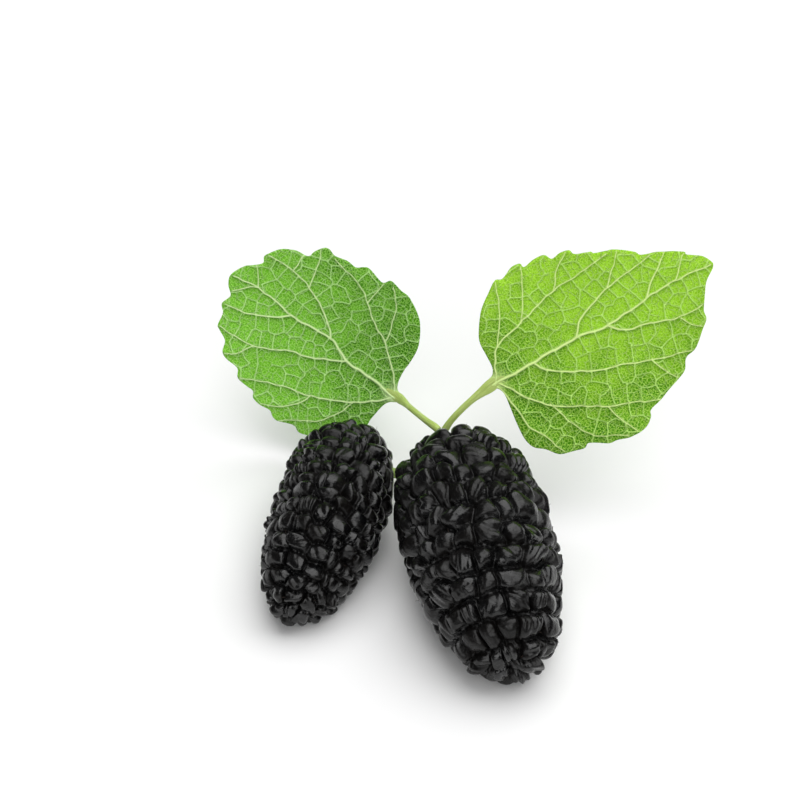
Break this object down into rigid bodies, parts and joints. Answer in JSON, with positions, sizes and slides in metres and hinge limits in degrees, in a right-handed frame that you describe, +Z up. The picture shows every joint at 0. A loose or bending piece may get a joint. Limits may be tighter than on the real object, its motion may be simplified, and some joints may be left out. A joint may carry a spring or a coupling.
{
  "type": "mulberry sprig",
  "caption": "Ripe black mulberries on a short green shoot with toothed leaves, lying on a surface as picked.",
  "frame": {"origin": "on the surface that the sprig lies on, under the middle of its box", "axes": "+Z up, +X to the right across both leaves, -Y towards the berry tips"},
  "size_m": [0.0548, 0.0482, 0.0311],
  "materials": {
    "berry_skin": "near-black satin-glossy fruit skin with dark creases",
    "leaf_blade": "fresh yellow-green leaf with pale raised veins, soft sheen",
    "petiole": "pale yellow-green smooth stalk, satin",
    "shoot": "young green shoot skin, finely ridged, satin"
  },
  "bodies": {
    "root": {"berry_large": "berry_skin", "berry_small": "berry_skin", "leaf_right_blade": "leaf_blade", "leaf_left_blade": "leaf_blade", "petiole_right": "petiole", "petiole_left": "petiole", "stalk_large": "shoot", "stalk_small": "shoot", "shoot_stub": "shoot"}
  },
  "joints": []
}
